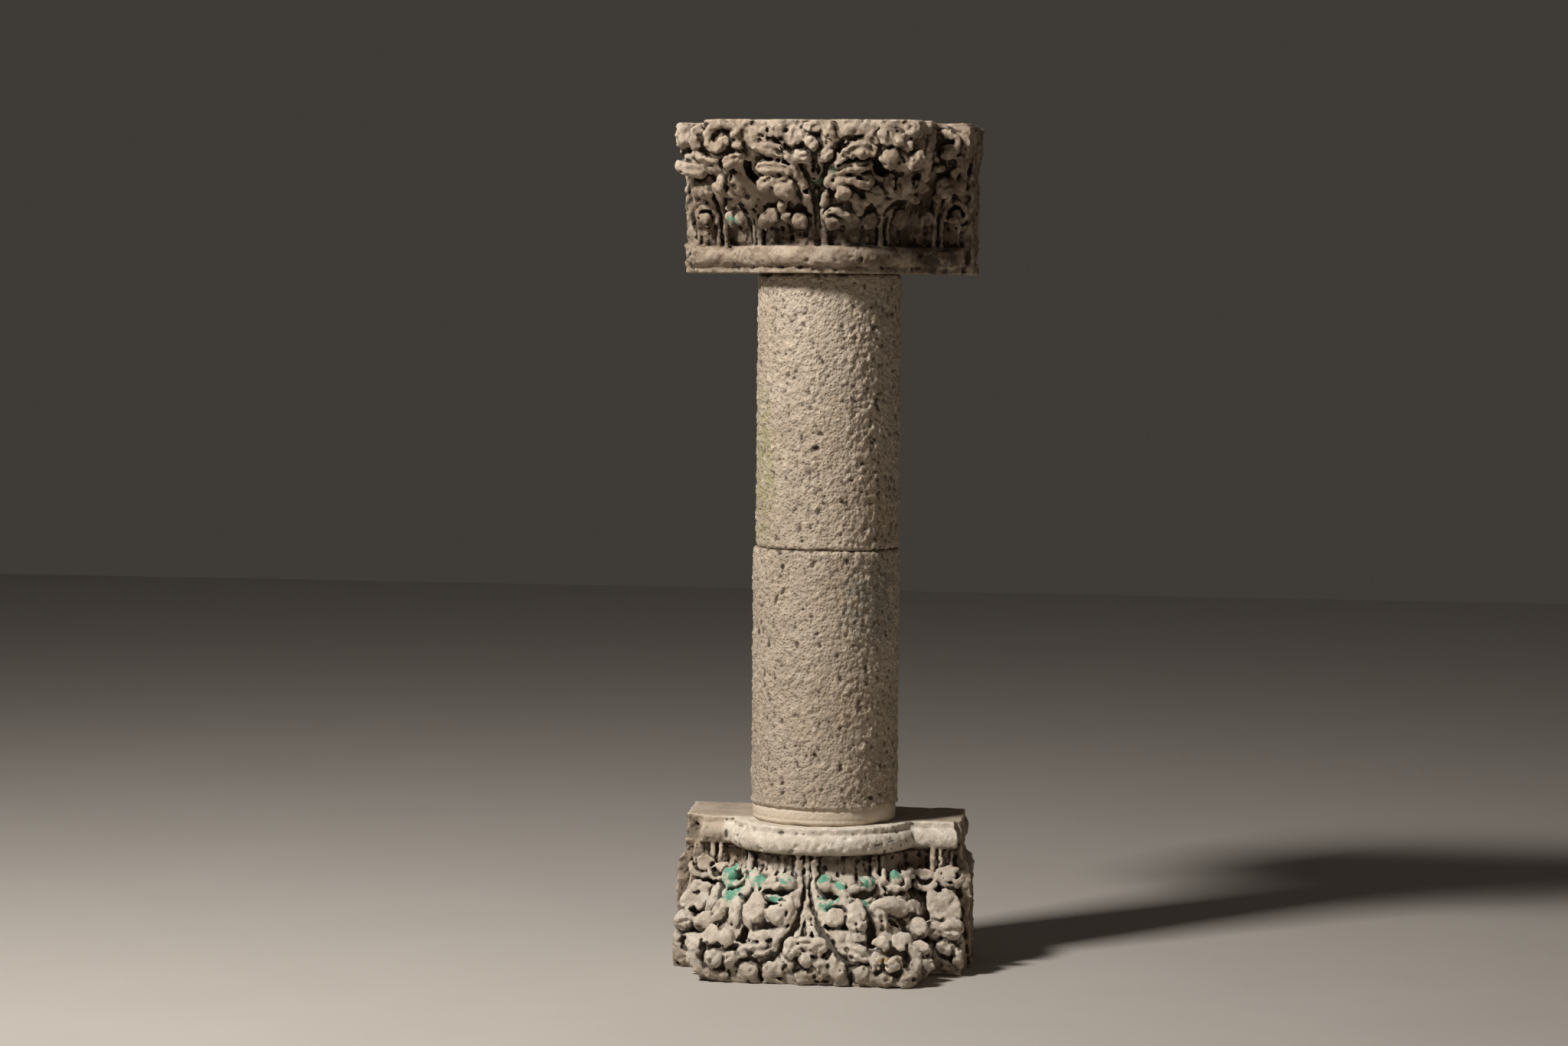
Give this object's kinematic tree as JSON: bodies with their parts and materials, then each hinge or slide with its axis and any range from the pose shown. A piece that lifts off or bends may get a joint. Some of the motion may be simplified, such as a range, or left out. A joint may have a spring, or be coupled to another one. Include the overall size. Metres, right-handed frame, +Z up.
{
  "type": "stone column",
  "caption": "Salvaged limestone column: round drums standing between engaged leaf-carved capitals, the lower one turned over as the base, each with a rough slab behind.",
  "frame": {"origin": "the centre line of the capitals' round bell, on the floor under the lower capital", "axes": "+Z up the column, -Y towards the carved front, +X to the right of someone facing the front"},
  "size_m": [0.5533, 0.4363, 1.5229],
  "materials": {
    "aged_limestone": "weathered carved limestone, dull and dirty in its hollows, with traces of green paint",
    "tooled_limestone": "cream limestone dressed with a toothed hammer, dull and pitted"
  },
  "bodies": {
    "root": {"lower_capital": "aged_limestone", "lower_drum": "tooled_limestone", "upper_drum": "tooled_limestone", "upper_capital": "aged_limestone"}
  },
  "joints": []
}
